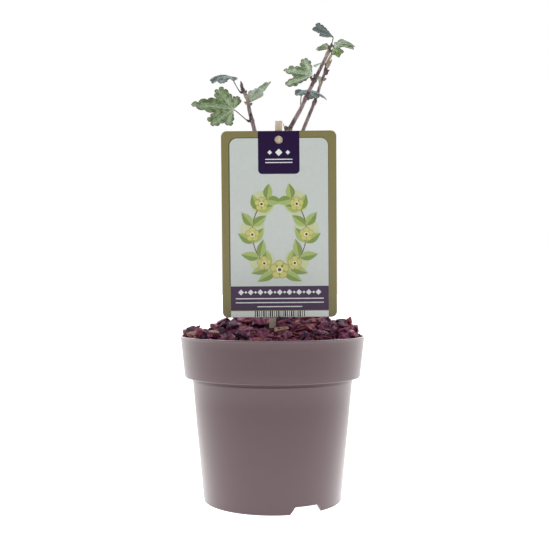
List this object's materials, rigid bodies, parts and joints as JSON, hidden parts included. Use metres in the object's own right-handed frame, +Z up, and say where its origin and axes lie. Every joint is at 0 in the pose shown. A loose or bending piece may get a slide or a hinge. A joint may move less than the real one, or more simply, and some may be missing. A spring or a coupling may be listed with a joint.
{
  "type": "gooseberry bush in a nursery pot",
  "caption": "Young gooseberry bush with bare woody boughs and lobed leaves, in a round collared nursery pot with bark mulch and a plain picture card on a stick.",
  "frame": {"origin": "on the table under the middle of the pot's foot ring", "axes": "+Z up, the picture card faces -Y, +X to the right seen from the front"},
  "size_m": [0.17, 0.17, 0.4363],
  "materials": {
    "pot_plastic": "smooth moulded taupe plastic with a soft sheen",
    "compost": "dark fibrous compost, matt",
    "bark_mulch": "rough reddish brown bark chips",
    "card": "printed plastic card with a satin face",
    "split_wood": "raw split wood with straight grain",
    "stem_bark": "purple brown young bark with a pink grey bloom",
    "green_leaf": "mid green leaf with pale veins and a brown purple rim",
    "blue_leaf": "dark blue green leaf with a grey sheen",
    "pale_leaf": "pale green leaf underside and young leaf"
  },
  "bodies": {
    "root": {"pot": "pot_plastic", "compost": "compost", "bark_mulch": "bark_mulch", "picture_card": "card", "card_stick": "split_wood", "leg": "stem_bark", "left_bough": "stem_bark", "front_bough": "stem_bark", "back_bough": "stem_bark", "left_tip_spray": "blue_leaf", "left_wide_spray": "green_leaf", "left_inner_spray": "pale_leaf", "left_low_spray": "green_leaf", "left_mid_spray": "green_leaf", "left_high_spray": "blue_leaf", "front_tip_spray": "blue_leaf", "front_mid_spray": "green_leaf", "front_low_spray": "blue_leaf", "front_side_spray": "green_leaf", "front_inner_spray": "green_leaf", "back_bud_spray": "pale_leaf", "back_upper_spray": "pale_leaf", "back_tip_spray": "pale_leaf", "back_low_spray": "green_leaf", "back_mid_spray": "green_leaf", "back_high_spray": "blue_leaf"}
  },
  "joints": []
}
